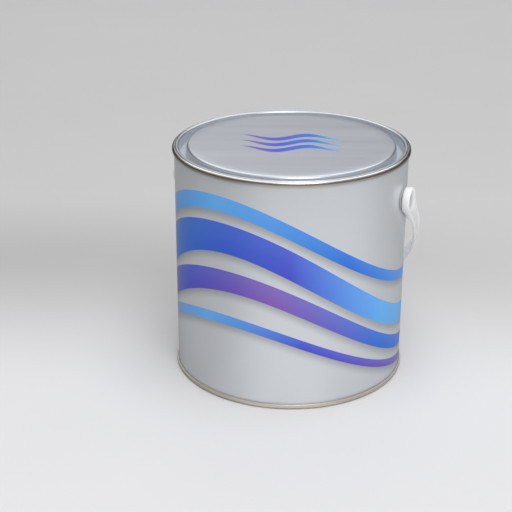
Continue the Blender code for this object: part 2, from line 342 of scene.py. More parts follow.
@dataclass(frozen=True)
class PrintFinish:
    """Silver lacquer with waving ribbons, printed on tinplate and varnished."""

    name: str
    radius: float
    sheet: float
    low: float
    high: float
    front: float
    silver: Colour = (0.732, 0.756, 0.784)
    bare: Colour = (0.660, 0.665, 0.680)
    tone_spread: float = 0.05
    edge_margin: float = 0.0012
    weld_margin: float = 0.0032
    cut: float = 0.0002
    outer_face: Span = (0.7, 0.3)
    flakes_per_metre: float = 2600.0
    clouds_per_metre: float = 14.0
    peel_per_metre: float = 420.0
    peel_depth: float = 0.000012
    bare_metallic: float = 0.7
    silver_metallic: float = 0.50
    ink_metallic: float = 0.15
    bare_roughness: float = 0.36
    silver_roughness: float = 0.40
    ink_gloss: float = 0.10
    cloud_roughness: float = 0.04
    varnish: float = 0.25
    ribbons: tuple[Ribbon, ...] = (
        Ribbon(height=0.112, swing=-0.034, phase=-0.62, width=0.0105, taper=0.30,
               stops=((0.0, ROYAL), (0.40, SKY), (0.58, ROYAL), (0.78, SKY), (1.0, ROYAL))),
        Ribbon(height=0.036, swing=-0.026, phase=-0.70, width=0.0070, taper=0.25,
               stops=((0.0, VIOLET), (0.38, SKY), (0.52, INDIGO), (0.75, VIOLET), (1.0, VIOLET))),
        Ribbon(height=0.057, swing=-0.034, phase=-0.78, width=0.0145, taper=0.35,
               stops=((0.0, INDIGO), (0.34, INDIGO), (0.48, VIOLET), (0.64, ROYAL), (1.0, INDIGO))),
        Ribbon(height=0.084, swing=-0.038, phase=-0.70, width=0.0205, taper=0.30,
               stops=((0.0, SKY), (0.32, ROYAL), (0.50, INDIGO), (0.64, SKY), (1.0, SKY))),
    )

    def printed(self, radius: Value, angle: Value, z: Value) -> Value:
        """Finds the printed area: the wall's outer face, short of both seams and of the weld.

        Args:
            radius: The distance from the can's axis.
            angle: The angle round the can from its front.
            z: The height on the can.

        Returns:
            1 on the print and 0 off it.
        """
        low, high = self.low + self.edge_margin, self.high - self.edge_margin
        upright = z.rises(low, low + self.cut) * (1 - z.rises(high - self.cut, high))
        from_weld = (math.pi - abs(angle)) * self.radius
        inner, outer = (self.radius - share * self.sheet for share in self.outer_face)
        sideways = from_weld.rises(self.weld_margin, self.weld_margin + self.cut)
        return upright * sideways * radius.rises(inner, outer)

    def material(self) -> Material:
        """Makes the material.

        Returns:
            The printed wall's material.
        """
        shader = SurfaceShader(self.name)
        place = shader.place()
        x, y, z = shader.split(place)
        c, s = math.cos(self.front), math.sin(self.front)
        angle = (y * c - x * s).bearing(x * c + y * s)
        flake = shader.noise(place, self.flakes_per_metre, detail=1.0)
        cloud = shader.noise(place, self.clouds_per_metre)
        colour, ink = shader.toned((flake + cloud) * 0.5, self.silver, self.tone_spread), 0.0
        for ribbon in self.ribbons:
            colour, ink = ribbon.over(shader, self.radius, angle, z, colour, ink)
        printed = self.printed(x.hypot(y), angle, z)
        metallic = shader.blended(ink, self.silver_metallic, self.ink_metallic)
        roughness = self.silver_roughness - self.ink_gloss * ink + self.cloud_roughness * (cloud - 0.5)
        peel = shader.noise(place, self.peel_per_metre, detail=1.0)
        return shader.set(
            Base_Color=shader.mix(printed, self.bare, colour),
            Metallic=shader.blended(printed, self.bare_metallic, metallic),
            Roughness=shader.blended(printed, self.bare_roughness, roughness),
            Coat_Weight=printed * self.varnish,
            Coat_Roughness=0.10,
            Specular_IOR_Level=0.3,
            Normal=shader.bump(peel, self.peel_depth),
        )


@dataclass(frozen=True)
class TinplateFinish:
    """Bright tinplate with the straight grain left by rolling."""

    name: str
    tint: Colour
    grain_turn: float
    roughness: float = 0.26
    metallic: float = 1.0
    roughness_spread: float = 0.06
    tone_spread: float = 0.05
    tone: Span = (0.25, 0.75)
    grain_stretch: Triple = (18.0, 900.0, 900.0)
    streak_stretch: Triple = (3.0, 90.0, 90.0)
    grain_depth: float = 0.0000015
    dent_depth: float = 0.000008
    dents_per_metre: float = 260.0

    def surface(self) -> tuple[SurfaceShader, Value, Value, Value]:
        """Starts the material.

        Returns:
            The shader, its colour, its roughness and its normal.
        """
        shader = SurfaceShader(self.name)
        place = shader.place()
        grain = shader.noise(shader.stretched(place, self.grain_turn, self.grain_stretch), 1.0, detail=3.0)
        streak = shader.noise(shader.stretched(place, self.grain_turn, self.streak_stretch), 1.0)
        dents = shader.noise(place, self.dents_per_metre, detail=1.0)
        tone = ((grain + streak) * 0.5).rises(*self.tone)
        colour = shader.toned(tone, self.tint, self.tone_spread)
        roughness = self.roughness + self.roughness_spread * (tone - 0.5)
        height = dents + grain * (self.grain_depth / self.dent_depth)
        return shader, colour, roughness, shader.bump(height, self.dent_depth)

    def material(self) -> Material:
        """The sheet's material."""
        shader, colour, roughness, normal = self.surface()
        return shader.set(Base_Color=colour, Metallic=self.metallic, Roughness=roughness, Normal=normal)


@dataclass(frozen=True)
class SeamFinish(TinplateFinish):
    """Tinplate with gold lacquer left on the outer wall of its seam, and rubbed off its edge."""

    lacquer: Colour = (0.560, 0.500, 0.440)
    lacquer_roughness: float = 0.08
    lacquer_edge: Span = (0.0005, 0.0001)
    seam_radius: float = 0.0
    clean: float = 0.0
    kept: float = 0.0

    def material(self) -> Material:
        """Makes the material. The lacquer fades in from the clean height to the kept one.

        Returns:
            The end's material.
        """
        shader, colour, roughness, normal = self.surface()
        x, y, z = shader.split(shader.place())
        gold = x.hypot(y).rises(*(self.seam_radius - inset for inset in self.lacquer_edge))
        worn = (z - self.clean) / (self.kept - self.clean)
        return shader.set(
            Base_Color=shader.mix(gold * worn.rises(0.0, 1.0), colour, self.lacquer),
            Metallic=self.metallic,
            Roughness=roughness + self.lacquer_roughness * gold,
            Normal=normal,
        )


@dataclass(frozen=True)
class LidFinish(TinplateFinish):
    """Tinplate with three short waves printed on the panel, and duller in the plug's groove."""

    top: float = 0.0
    plug_metallic: float = 0.28
    plug_depth: Span = (0.0016, 0.0006)
    face_depth: Span = (0.00012, 0.00008)
    strokes: int = 3
    spacing: float = 0.0130
    half_length: float = 0.0360
    half_width: float = 0.0042
    swing: float = 0.0050
    wave_length: float = 0.0480
    side_blur: float = 0.0002
    end_blur: float = 0.0003
    ink_dulling: float = 0.6
    stops: Stops = ((0.0, VIOLET), (0.35, INDIGO), (0.70, ROYAL), (1.0, SKY))

    def inked(self, right: Value, away: Value) -> Term:
        """Draws the waves.

        Args:
            right: How far to the right of the panel's middle a place lies.
            away: How far behind the panel's middle it lies.

        Returns:
            1 on a wave and 0 off it.
        """
        swing = (right * (TURN / self.wave_length)).sine() * self.swing
        half = self.half_width * (1 - (right / self.half_length) ** 2.0)
        ink: Term = 0.0
        for index in range(self.strokes):
            middle = (index - (self.strokes - 1) / 2) * self.spacing
            ink = ink + (1 - abs(away - swing - middle).rises(half - self.side_blur, half))
        return ink * (1 - abs(right).rises(self.half_length - self.end_blur, self.half_length))

    def material(self) -> Material:
        """Makes the material, with the waves on the upper face alone.

        Returns:
            The lid's material.
        """
        shader, colour, roughness, normal = self.surface()
        x, y, z = shader.split(shader.place())
        c, s = math.cos(self.grain_turn), math.sin(self.grain_turn)
        right = x * c - y * s
        ink = self.inked(right, x * s + y * c) * z.rises(*(self.top - depth for depth in self.face_depth))
        raised = z.rises(*(self.top - depth for depth in self.plug_depth))
        print_colour = shader.ramp(self.stops, right / (2 * self.half_length) + 0.5)
        return shader.set(
            Base_Color=shader.mix(ink, colour, print_colour),
            Metallic=shader.blended(raised, self.plug_metallic, self.metallic - self.ink_dulling * ink),
            Roughness=roughness,
            Normal=normal,
        )


@dataclass(frozen=True)
class PlasticFinish:
    """Moulded white plastic."""

    name: str
    colour: Colour = (0.900, 0.903, 0.908)
    shade: Colour = (0.860, 0.864, 0.870)
    roughness: float = 0.38
    flow_roughness: float = 0.12
    grain_roughness: float = 0.06
    flow_per_metre: float = 55.0
    grain_per_metre: float = 2200.0
    grain_depth: float = 0.00001
    translucence: float = 0.9
    bleed: float = 0.006

    def material(self) -> Material:
        """Makes the material, with faint flow marks and a fine moulded grain.

        Returns:
            The plastic's material.
        """
        shader = SurfaceShader(self.name)
        place = shader.place()
        flow = shader.noise(place, self.flow_per_metre, detail=3.0)
        grain = shader.noise(place, self.grain_per_metre, detail=1.0)
        uneven = self.flow_roughness * (flow - 0.5) + self.grain_roughness * (grain - 0.5)
        return shader.set(
            Base_Color=shader.mix(flow, self.shade, self.colour),
            Roughness=self.roughness + uneven,
            Normal=shader.bump(grain, self.grain_depth),
            Subsurface_Weight=self.translucence,
            Subsurface_Scale=self.bleed,
            Subsurface_Radius=(1.0, 1.0, 1.0),
        )


@dataclass(frozen=True)
class PasteFinish:
    """A thick filled paste: the putty, or the compound in the seams."""

    name: str
    colour: Colour
    shade: Colour
    roughness: float
    mottle_roughness: float = 0.25
    mottles_per_metre: float = 45.0
    grit_per_metre: float = 1500.0
    grit_share: float = 0.4
    depth: float = 0.00006

    def material(self) -> Material:
        """Makes the material, mottled and with fine grit.

        Returns:
            The paste's material.
        """
        shader = SurfaceShader(self.name)
        place = shader.place()
        mottle = shader.noise(place, self.mottles_per_metre, detail=4.0)
        grit = shader.noise(place, self.grit_per_metre)
        return shader.set(
            Base_Color=shader.mix(mottle, self.shade, self.colour),
            Roughness=self.roughness + self.mottle_roughness * (mottle - 0.5),
            Normal=shader.bump(grit * self.grit_share + mottle, self.depth),
        )


Finish = Union[PrintFinish, TinplateFinish, PlasticFinish, PasteFinish]


def eased(share: float) -> float:
    """Rises smoothly from 0 to 1 as the share does, and stays there beyond."""
    held = min(max(share, 0.0), 1.0)
    return held * held * (3 - 2 * held)


def lathe(corners: Sequence[Corner], axis: Axis, steps: int, longest: float, segments: int = 6) -> Mesh:
    """Turns a section round an axis into a skin with its faces pointing out.

    Args:
        corners: (radius, place along the axis, bend) of each corner. A bend of 0 stays sharp.
        axis: The axis.
        steps: Faces round the axis.
        longest: The length above which an edge of the section is divided.
        segments: Edges in each round corner.

    Returns:
        The skin.
    """
    across = Vector((0, 0, 1)) if axis is Axis.X else Vector((1, 0, 0))
    along = Vector(axis.value)
    bm = bmesh.new()
    verts = [bm.verts.new(across * radius + along * place) for radius, place, _ in corners]
    for pair in zip(verts, verts[1:]):
        bm.edges.new(pair)
    for vert, (_, _, bend) in zip(verts, corners):
        if bend:
            bmesh.ops.bevel(bm, geom=[vert], offset=bend, offset_type="OFFSET", segments=segments,
                            profile=0.5, affect="VERTICES", material=-1)
    for edge in list(bm.edges):
        cuts = int(edge.calc_length() / longest)
        if cuts:
            bmesh.ops.subdivide_edges(bm, edges=[edge], cuts=cuts)
    bmesh.ops.spin(bm, geom=bm.verts[:] + bm.edges[:], cent=(0, 0, 0), axis=axis.value, angle=TURN,
                   steps=steps, use_merge=True)
    bmesh.ops.remove_doubles(bm, verts=bm.verts, dist=MERGE)
    bmesh.ops.recalc_face_normals(bm, faces=bm.faces)
    return bm


def to_object(name: str, bm: Mesh) -> Piece:
    """Makes an object of a finished bmesh.

    Args:
        name: The object's name.
        bm: The mesh, which is freed.

    Returns:
        The object, at the origin.
    """
    mesh = bpy.data.meshes.new(name)
    bm.to_mesh(mesh)
    bm.free()
    made = bpy.data.objects.new(name, mesh)
    bpy.context.scene.collection.objects.link(made)
    return made


def applied(piece: Piece) -> None:
    """Makes an object's modifiers part of its mesh.

    Args:
        piece: The object.
    """
    graph = bpy.context.evaluated_depsgraph_get()
    mesh = bpy.data.meshes.new_from_object(piece.evaluated_get(graph))
    piece.modifiers.clear()
    piece.data = mesh


def shaded(piece: Piece, sharp: float = 0.7) -> Piece:
    """Shades a piece smooth, apart from its sharp edges.

    Args:
        piece: The piece.
        sharp: The bend, in radians, from which an edge is sharp.

    Returns:
        The piece.
    """
    piece.data.shade_smooth()
    piece.data.set_sharp_from_angle(angle=sharp)
    return piece


def node_facts(node: str) -> tuple[str, Optional[str]]:
    """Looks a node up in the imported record.

    Args:
        node: The node's name.

    Returns:
        The body that it rides on and its material slot.
    """
    record = frame["record"]
    body = next(b for b, nodes in record["behaviour"]["bodies"].items() if node in nodes)
    slot = next((p["material_slot"] for p in record["subparts"] if p["node"] == node), None)
    return body, slot


def seat(piece: Piece, node: str, finish: Finish, stands_for: bool = True) -> None:
    """Dresses a piece and makes it ride with a node's body.

    Args:
        piece: The piece.
        node: The node whose body it takes.
        finish: Its finish.
        stands_for: Whether the piece replaces that node.
    """
    body, slot = node_facts(node)
    piece.data.materials.clear()
    piece.data.materials.append(finish.material())
    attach(piece, body)
    if stands_for:
        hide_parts(node)
    log.info("%s rides on %s, %d faces", piece.name, body, len(piece.data.polygons))


@dataclass(frozen=True)
class DoubleSeam:
    """The folded layers that join an end to the wall. Radii are those of the sheet's middle line."""

    outside: float
    sheet: float = 0.00025
    play: float = 0.0002
    height: float = 0.0033
    outer_bend: float = 0.0016
    inner_bend: float = 0.0004
    fold_bend: float = 0.00042
    hook_bend: float = 0.0002
    compound: float = 0.0004

    def layer(self, count: int) -> float:
        """The radius of a layer, counted inwards from the seaming wall as 0."""
        return self.outside - self.sheet / 2 - count * (self.sheet + self.play)

    @property
    def wall(self) -> float:
        """The radius of the wall's outer surface."""
        return self.layer(3) + self.sheet / 2

    @property
    def hook_top(self) -> float:
        """The depth of the wall's hook under the end's plane."""
        return 1.5 * self.sheet + 2 * self.play + self.compound

    def end_corners(self) -> list[Corner]:
        """Draws the edge of an end.

        Returns:
            Its corners by depth, from the tip of its hook to the top of its chuck wall.
        """
        low = self.height - self.sheet / 2
        return [
            (self.layer(2), self.hook_top + self.sheet / 2 + self.play, 0.0),
            (self.layer(2), low, self.fold_bend),
            (self.layer(0), low, self.fold_bend),
            (self.layer(0), self.sheet / 2, self.outer_bend),
            (self.layer(4), self.sheet / 2, self.inner_bend),
        ]

    def hook_corners(self) -> list[Corner]:
        """Draws the wall's hook.

        Returns:
            Its corners by depth, from its tip to the wall.
        """
        return [
            (self.layer(1), self.height - self.sheet - self.play, 0.0),
            (self.layer(1), self.hook_top, self.hook_bend),
            (self.layer(3), self.hook_top, self.hook_bend),
        ]


@dataclass
class PressedSheets:
    """Every piece pressed from tinplate: the wall, both ends and the lid."""

    seam: DoubleSeam
    top: float
    front: float
    steps: int = 256
    longest: float = 0.007
    fit: float = 0.0003
    base_recess: float = 0.0045
    base_bend: float = 0.0010
    bead_inset: float = 0.0132
    bead_width: float = 0.0200
    bead_height: float = 0.0010
    ledge_depth: float = 0.0026
    groove_depth: float = 0.0080
    groove_bend: float = 0.0009
    collar_drop: float = 0.0018
    collar_width: float = 0.0016
    collar_height: float = 0.0014
    small_bend: float = 0.0003
    curl_bend: float = 0.0006
    roll_width: float = 0.0022
    plug_width: float = 0.00525
    lid_edge_bend: float = 0.0020
    lip_bend: float = 0.0005
    roll_bend: float = 0.0016
    weld_width: float = 0.0011
    weld_height: float = 0.00012
    weld_tint: Colour = (0.42, 0.43, 0.45)
    end_tint: Colour = (0.690, 0.680, 0.662)
    end_dent: float = 0.00002
    # Painted light: the foot's gold lacquer is the rim seam's lacquer made a quarter lighter, standing in
    # for the light the bottom seam catches from the floor.
    painted_light_foot_lacquer: Colour = (0.700, 0.630, 0.555)
    foot_wear: Span = (0.0002, 0.0010)
    rim_wear: Span = (0.0004, 0.0012)
    lid_tint: Colour = (0.585, 0.612, 0.662)

    def pressed(self, name: str, corners: Sequence[Corner], from_top: bool) -> Piece:
        """Makes a sheet piece from the middle line of its section.

        Args:
            name: The piece's name.
            corners: (radius, depth, bend) of each corner.
            from_top: Whether depths run down from the top seam, and not up from the floor.

        Returns:
            The piece.
        """
        placed = [(r, self.top - d if from_top else d, bend) for r, d, bend in corners]
        piece = to_object(name, lathe(placed, Axis.Z, self.steps, self.longest))
        wall = piece.modifiers.new("sheet", "SOLIDIFY")
        wall.thickness = self.seam.sheet
        wall.offset = 0.0
        wall.use_even_offset = True
        applied(piece)
        return shaded(piece)

    def wall(self) -> Piece:
        """Makes the printed wall, hooked at both ends.

        Returns:
            The wall.
        """
        hook = self.seam.hook_corners()
        upper = [(r, self.top - d, bend) for r, d, bend in reversed(hook)]
        return self.pressed("printed_wall", hook + upper, from_top=False)

    def weld(self) -> Piece:
        """Makes the weld that closes the wall at its back, as a low strip.

        Returns:
            The weld.
        """
        low, high = self.seam.height, self.top - self.seam.height
        bm = bmesh.new()
        bmesh.ops.create_cube(bm, size=1.0)
        bmesh.ops.scale(bm, vec=(2 * self.weld_height, self.weld_width, high - low), verts=bm.verts)
        upright = [e for e in bm.edges if abs(e.verts[0].co.z - e.verts[1].co.z) > MERGE]
        bmesh.ops.subdivide_edges(bm, edges=upright, cuts=int((high - low) / self.longest))
        outer = [e for e in upright if e.is_valid and e.verts[0].co.x > 0]
        bmesh.ops.bevel(bm, geom=outer, offset=self.weld_height, segments=2, profile=0.5,
                        affect="EDGES", material=-1)
        bmesh.ops.translate(bm, vec=(self.seam.wall, 0, (low + high) / 2), verts=bm.verts)
        bmesh.ops.rotate(bm, cent=(0, 0, 0), matrix=Matrix.Rotation(self.front + math.pi, 3, "Z"),
                         verts=bm.verts)
        bmesh.ops.recalc_face_normals(bm, faces=bm.faces)
        return shaded(to_object("wall_weld", bm))

    def bottom(self) -> Piece:
        """Makes the recessed bottom end, with its raised bead.

        Returns:
            The bottom end.
        """
        chuck = self.seam.layer(4)
        outer = chuck - self.bead_inset
        inner = outer - self.bead_width
        floor, bend = self.base_recess, self.bead_height / 2
        corners = self.seam.end_corners() + [
            (chuck, floor, self.base_bend),
            (outer, floor, bend),
            (outer - self.bead_height, floor + self.bead_height, bend),
            (inner + self.bead_height, floor + self.bead_height, bend),
            (inner, floor, bend),
            (0.0, floor, 0.0),
        ]
        return self.pressed("bottom_end_sheet", corners, from_top=False)

    @property
    def lip(self) -> float:
        """The radius of the lid's outer edge."""
        return self.seam.layer(4) - self.seam.sheet - self.fit

    @property
    def plug(self) -> Span:
        """The inner and outer radius of the lid's plug."""
        outer = self.lip - self.roll_width
        return outer - self.seam.sheet - self.plug_width, outer

    def ring(self) -> Piece:
        """Makes the ring that carries the lid: ledge, closing groove and curled collar.

        Returns:
            The ring.
        """
        apart = self.seam.sheet + self.fit
        collar, groove = self.plug[0] - apart, self.plug[1] + apart
        curl = collar - self.collar_width
        corners = self.seam.end_corners() + [
            (self.seam.layer(4), self.ledge_depth, self.small_bend),
            (groove, self.ledge_depth, self.small_bend),
            (groove, self.groove_depth, self.groove_bend),
            (collar, self.groove_depth, self.groove_bend),
            (collar, self.collar_drop, self.curl_bend),
            (curl, self.collar_drop, self.curl_bend),
            (curl, self.collar_drop + self.collar_height, 0.0),
        ]
        return self.pressed("top_ring_sheet", corners, from_top=True)

    def lid(self) -> Piece:
        """Makes the press-in lid: rolled edge, plug and flat panel.

        Returns:
            The lid.
        """
        half = self.seam.sheet / 2
        level = self.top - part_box("lid")[1].z + half
        deep = self.groove_depth - self.seam.sheet - self.fit
        corners = [
            (self.lip, self.ledge_depth - half - self.fit, 0.0),
            (self.lip, level, self.lip_bend),
            (self.plug[1], level, self.roll_bend),
            (self.plug[1], deep, self.groove_bend),
            (self.plug[0], deep, self.groove_bend),
            (self.plug[0], level, self.lid_edge_bend),
            (0.0, level, 0.0),
        ]
        return self.pressed("lever_lid", corners, from_top=True)

    def build(self) -> None:
        """Builds, dresses and seats the sheets."""
        low, high = self.seam.height, self.top - self.seam.height
        grain, outside = -self.front - math.pi / 2, self.seam.outside
        foot_clean, foot_kept = self.foot_wear
        rim_clean, rim_kept = (self.top - depth for depth in self.rim_wear)
        seat(self.wall(), "can_body", PrintFinish(
            "printed_wall", self.seam.wall, self.seam.sheet, low, high, self.front))
        seat(self.weld(), "can_body", TinplateFinish(
            "weld_line", self.weld_tint, grain_turn=0.0, roughness=0.36, metallic=0.8), stands_for=False)
        # The bottom seam's lacquer is painted lighter than the rim's, as painted light.
        seat(self.bottom(), "bottom_end", SeamFinish(
            "bottom_tinplate", self.end_tint, grain, roughness=0.34, metallic=0.7, dent_depth=self.end_dent,
            lacquer=self.painted_light_foot_lacquer, seam_radius=outside, clean=foot_clean, kept=foot_kept))
        seat(self.ring(), "top_ring", SeamFinish(
            "ring_tinplate", self.end_tint, grain, roughness=0.24, dent_depth=self.end_dent,
            seam_radius=outside, clean=rim_clean, kept=rim_kept))
        seat(self.lid(), "lid", LidFinish(
            "lid_tinplate", self.lid_tint, grain, roughness=0.30, metallic=0.84, top=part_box("lid")[1].z))


@dataclass
class SeamCompound:
    """The rings of lining compound in the two double seams."""

    seam: DoubleSeam
    top: float
    width: float = 0.0005
    steps: int = 192
    longest: float = 0.001
    colour: Colour = (0.46, 0.44, 0.41)
    shade: Colour = (0.38, 0.36, 0.34)

    def build(self) -> None:
        """Builds, dresses and seats both rings."""
        finish = PasteFinish("lining_compound", self.colour, self.shade, roughness=0.75)
        inner, near = self.seam.layer(3) - self.seam.sheet / 2, self.seam.sheet + self.seam.play
        outer, far = inner + self.width, near + self.seam.compound
        for node, low, high in (("bottom_sealant", near, far),
                                ("top_sealant", self.top - far, self.top - near)):
            corners = ((inner, low), (outer, low), (outer, high), (inner, high), (inner, low))
            section = [(radius, z, 0.0) for radius, z in corners]
            ring = to_object(node + "_ring", lathe(section, Axis.Z, self.steps, self.longest))
            seat(shaded(ring), node, finish)


@dataclass
class Ears:
    """The two drawn studs, welded to the wall, that the handle turns on."""

    seam: DoubleSeam
    height: float
    fit: float = 0.0003
    flange: float = 0.0005
    flange_radius: float = 0.0085
    stud_radius: float = 0.0032
    head_radius: float = 0.0046
    head: float = 0.0015
    stud_wall: float = 0.0008
    bend: float = 0.0004
    bend_segments: int = 4
    steps: int = 72
    longest: float = 0.001
    tint: Colour = (0.700, 0.700, 0.698)

    @property
    def front(self) -> float:
        """How far out the studs' heads stand."""
        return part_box("ear_right")[1].x

    def build(self) -> None:
        """Builds, dresses and seats both studs."""
        finish = TinplateFinish("ear_tinplate", self.tint, grain_turn=0.0, roughness=0.32, metallic=0.35)
        for node, side in (("ear_right", 1), ("ear_left", -1)):
            seat(self.stud(node + "_stud", side), node, finish)

    def stud(self, name: str, side: int) -> Piece:
        """Makes one stud.

        Args:
            name: The piece's name.
            side: 1 on the right and -1 on the left.

        Returns:
            The stud.
        """
        back, front = self.seam.wall + self.fit, self.front
        face = back + self.flange
        bore = self.stud_radius - self.stud_wall
        section = [
            (0.0, front - self.stud_wall, 0.0),
            (bore, front - self.stud_wall, self.bend),
            (bore, back, self.bend / 2),
            (self.flange_radius, back, self.flange / 3),
            (self.flange_radius, face, self.flange / 3),
            (self.stud_radius, face, self.bend / 2),
            (self.stud_radius, front - self.head, self.bend / 4),
            (self.head_radius, front - self.head, self.bend),
            (self.head_radius, front - self.head / 2, self.bend),
            (self.stud_radius, front, self.bend),
            (0.0, front, 0.0),
        ]
        placed = [(r, side * x, bend) for r, x, bend in section]
        bm = lathe(placed, Axis.X, self.steps, self.longest, self.bend_segments)
        for vert in bm.verts:
            if abs(vert.co.x) <= face + MERGE:
                vert.co.x -= side * (back - math.sqrt(back ** 2 - vert.co.y ** 2))
        bmesh.ops.translate(bm, vec=(0, 0, self.height), verts=bm.verts)
        return shaded(to_object(name, bm))


@dataclass
class CarryHandle:
    """The moulded plastic handle: an arched strap with ribbed edges and a socket at each end."""

    seam: DoubleSeam
    ears: Ears
    fit: float = 0.0003
    run: float = 0.0004
    lip: float = 0.0012
    boss_radius: float = 0.0090
    boss_bend: float = 0.0008
    dish: float = 0.0010
    rim: float = 0.0016
    proud: float = 0.0005
    thickness: float = 0.0024
    width: float = 0.0120
    grip_width: float = 0.0170
    grip_length: float = 0.0900
    rib: float = 0.0022
    recess: float = 0.0009
    reach: float = 0.1350
    pad: float = 0.0150
    neck: float = 0.0230
    steps: int = 72
    leg_steps: int = 12
    arch_steps: int = 120
    voxel: float = 0.00043
    smoothing: int = 3

    @property
    def face(self) -> float:
        """How far out the boss's face stands."""
        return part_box("carry_handle")[1].x

    @property
    def back(self) -> float:
        """How far out the boss's inner face stands."""
        return self.ears.front - self.ears.head - self.run - self.lip

    @property
    def middle(self) -> float:
        """How far out the middle of the strap's leg stands."""
        return self.face - self.proud - self.thickness / 2

    @property
    def rest(self) -> float:
        """The angle below level at which the strap meets the can."""
        inside, half = self.reach - self.thickness / 2, self.grip_width / 2
        return math.acos((self.seam.wall + self.fit) / math.hypot(inside, half)) - math.atan2(half, inside)

    def add_boss(self, bm: Mesh, side: int) -> None:
        """Adds the socketed end of one leg.

        Args:
            bm: The mesh that it is added to.
            side: 1 on the right and -1 on the left.
        """
        socket, neck = self.ears.head_radius + self.run, self.ears.stud_radius + self.run
        end = self.ears.front + self.run
        rim = self.boss_radius - self.rim
        section = [
            (0.0, end, 0.0), (socket, end, 0.0), (socket, self.back + self.lip, 0.0),
            (neck, self.back + self.lip, 0.0), (neck, self.back, 0.0),
            (self.boss_radius, self.back, self.boss_bend), (self.boss_radius, self.face, self.boss_bend),
            (rim, self.face, self.dish), (rim - self.dish, self.face - self.dish, self.dish / 2),
            (0.0, self.face - self.dish, 0.0),
        ]
        boss = lathe([(r, side * x, bend) for r, x, bend in section], Axis.X, self.steps, self.width)
        mesh = bpy.data.meshes.new("boss")
        boss.to_mesh(mesh)
        boss.free()
        bm.from_mesh(mesh)
        bpy.data.meshes.remove(mesh)

    def stations(self) -> list[tuple[Vector, Vector, float, float]]:
        """Lists places along the strap, from the right leg over the arch to the left leg.

        Returns:
            For each place its point, its outward direction, the thickness added inside and half its width.
        """
        start = self.ears.head_radius + self.run + self.lip
        added = self.middle - self.thickness / 2 - self.back - self.proud
        leg = []
        for i in range(self.leg_steps):
            share = i / self.leg_steps
            point = Vector((self.middle, 0, start + (self.neck - start) * share))
            wider = (self.boss_radius - self.boss_bend - self.width / 2) * (1 - eased(point.z / self.neck))
            thick = added * (1 - eased((point.z - self.pad) / (self.neck - self.pad)))
            leg.append((point, Vector((1, 0, 0)), thick, self.width / 2 + wider))
        arch = []
        rise = self.reach - self.neck
        for i in range(self.arch_steps + 1):
            turn = math.pi * i / self.arch_steps
            point = Vector((self.middle * math.cos(turn), 0, self.neck + rise * math.sin(turn)))
            out = Vector((rise * math.cos(turn), 0, self.middle * math.sin(turn))).normalized()
            share = (self.grip_length - abs(point.x)) / (self.grip_length / 2)
            wider = (self.grip_width - self.width) * eased(share)
            arch.append((point, out, 0.0, (self.width + wider) / 2))
        other = [(Vector((-p.x, 0, p.z)), -out, thick, half) for p, out, thick, half in reversed(leg)]
        return leg + arch + other

    def add_strap(self, bm: Mesh) -> None:
        """Adds the strap, a channel section carried along the arch.

        Args:
            bm: The mesh that it is added to.
        """
        loops = []
        for point, out, added, half in self.stations():
            inside, outside = -self.thickness / 2 - added, self.thickness / 2
            channel, slant = half - self.rib, self.recess / 2
            section = [
                (-half, inside), (half, inside), (half, outside), (channel, outside),
                (channel - slant, outside - self.recess), (slant - channel, outside - self.recess),
                (-channel, outside), (-half, outside),
            ]
            verts = [bm.verts.new(point + out * n + Vector((0, q, 0))) for q, n in section]
            loops.append([bm.edges.new(pair) for pair in zip(verts, verts[1:] + verts[:1])])
        for near, far in zip(loops, loops[1:]):
            bmesh.ops.bridge_loops(bm, edges=near + far)
        for end in (loops[0], loops[-1]):
            bmesh.ops.contextual_create(bm, geom=end)
        bmesh.ops.recalc_face_normals(bm, faces=bm.faces)

    def build(self) -> None:
        """Builds the handle as one moulding, hangs it at rest, dresses and seats it."""
        bm = bmesh.new()
        self.add_strap(bm)
        for side in (1, -1):
            self.add_boss(bm, side)
        piece = to_object("carrying_handle", bm)
        fuse = piece.modifiers.new("fuse", "REMESH")
        fuse.mode = "VOXEL"
        fuse.voxel_size = self.voxel
        applied(piece)
        bm = bmesh.new()
        bm.from_mesh(piece.data)
        for _ in range(self.smoothing):
            bmesh.ops.smooth_vert(bm, verts=bm.verts, factor=0.5, use_axis_x=True, use_axis_y=True,
                                  use_axis_z=True)
        drop = Matrix.Rotation(-(math.pi / 2 + self.rest), 4, "X")
        bmesh.ops.transform(bm, matrix=Matrix.Translation((0, 0, self.ears.height)) @ drop, verts=bm.verts)
        bm.to_mesh(piece.data)
        bm.free()
        seat(shaded(piece, math.pi), "carry_handle", PlasticFinish("white_plastic"))


